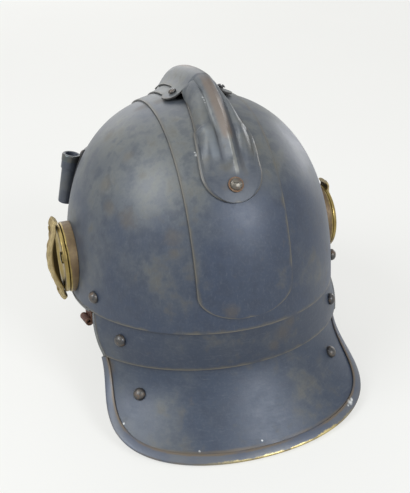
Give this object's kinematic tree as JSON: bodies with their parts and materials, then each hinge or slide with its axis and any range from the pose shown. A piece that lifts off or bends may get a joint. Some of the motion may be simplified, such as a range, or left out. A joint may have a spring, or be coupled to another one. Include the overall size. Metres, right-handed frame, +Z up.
{
  "type": "cavalry helmet",
  "caption": "Domed riding helmet with raised comb, flared two-lame neck guard, small peak, plume socket and swivelling ear bosses.",
  "frame": {"origin": "middle of the bounding box at floor level; the helmet stands on the rims of its neck guard and peak", "axes": "+X towards the wearer's left, +Y towards the rear neck guard, +Z up; the crown leans about 7 degrees forward as it stands"},
  "size_m": [0.2072, 0.2765, 0.2052],
  "materials": {
    "blue_paint": "old satin blue-grey paint over steel, worn at the edges, with rust blotches",
    "dark_paint": "satin dark blue paint",
    "grey_steel": "dull greenish-grey steel",
    "iron_hardware": "dark iron with brown rust",
    "old_brass": "tarnished brass, bright on worn edges",
    "buff_leather": "pale buff leather",
    "brown_leather": "brown leather, worn",
    "felt": "grey felt",
    "cord": "waxed cord"
  },
  "bodies": {
    "helmet": {"skull": "blue_paint", "crown_strip": "blue_paint", "crest_comb": "blue_paint", "crest_tail": "blue_paint", "tail_screw": "iron_hardware", "tail_washer": "iron_hardware", "tail_nut": "iron_hardware", "ear_screws": "iron_hardware", "nose_screw": "iron_hardware", "peak": "blue_paint", "peak_binding": "old_brass", "peak_rivets": "iron_hardware", "band_rivets": "iron_hardware", "plume_tube": "dark_paint", "plume_collar": "grey_steel", "plume_bracket": "dark_paint", "bracket_rivets": "iron_hardware", "boss_ring_left": "old_brass", "boss_ring_right": "old_brass", "boss_stud_left": "old_brass", "boss_stud_right": "old_brass", "boss_nuts": "iron_hardware", "liner_pads": "felt", "sweatband": "brown_leather", "liner_crown": "brown_leather", "liner_lace": "cord", "ear_tabs": "brown_leather"},
    "left_boss": {"boss_disc_left": "old_brass", "loop_left": "buff_leather", "loop_pins_left": "old_brass"},
    "right_boss": {"boss_disc_right": "old_brass", "loop_right": "buff_leather", "loop_pins_right": "old_brass"},
    "band": {"neck_band": "blue_paint", "guard_rivets": "iron_hardware"},
    "guard": {"neck_guard": "blue_paint", "guard_binding": "old_brass", "strap_rivets": "iron_hardware", "stop_straps": "brown_leather"}
  },
  "joints": [
    {"name": "band_hinge", "type": "hinge", "parent": "helmet", "child": "band", "pos_m": [0, 0.04727, 0.07901], "axis": [-1, 0, 0], "range_deg": [0, 4]},
    {"name": "guard_hinge", "type": "hinge", "parent": "band", "child": "guard", "pos_m": [0, 0.06961, 0.05816], "axis": [-1, 0, 0], "range_deg": [0, 5]},
    {"name": "left_boss_swivel", "type": "hinge", "parent": "helmet", "child": "left_boss", "pos_m": [0.08853, 0.0044, 0.08839], "axis": [0.9994, 0.0338, 0.0041], "range_deg": [-35, 35]},
    {"name": "right_boss_swivel", "type": "hinge", "parent": "helmet", "child": "right_boss", "pos_m": [-0.09391, 0.0044, 0.08839], "axis": [-0.9994, 0.0338, 0.0041], "range_deg": [-35, 35]}
  ]
}
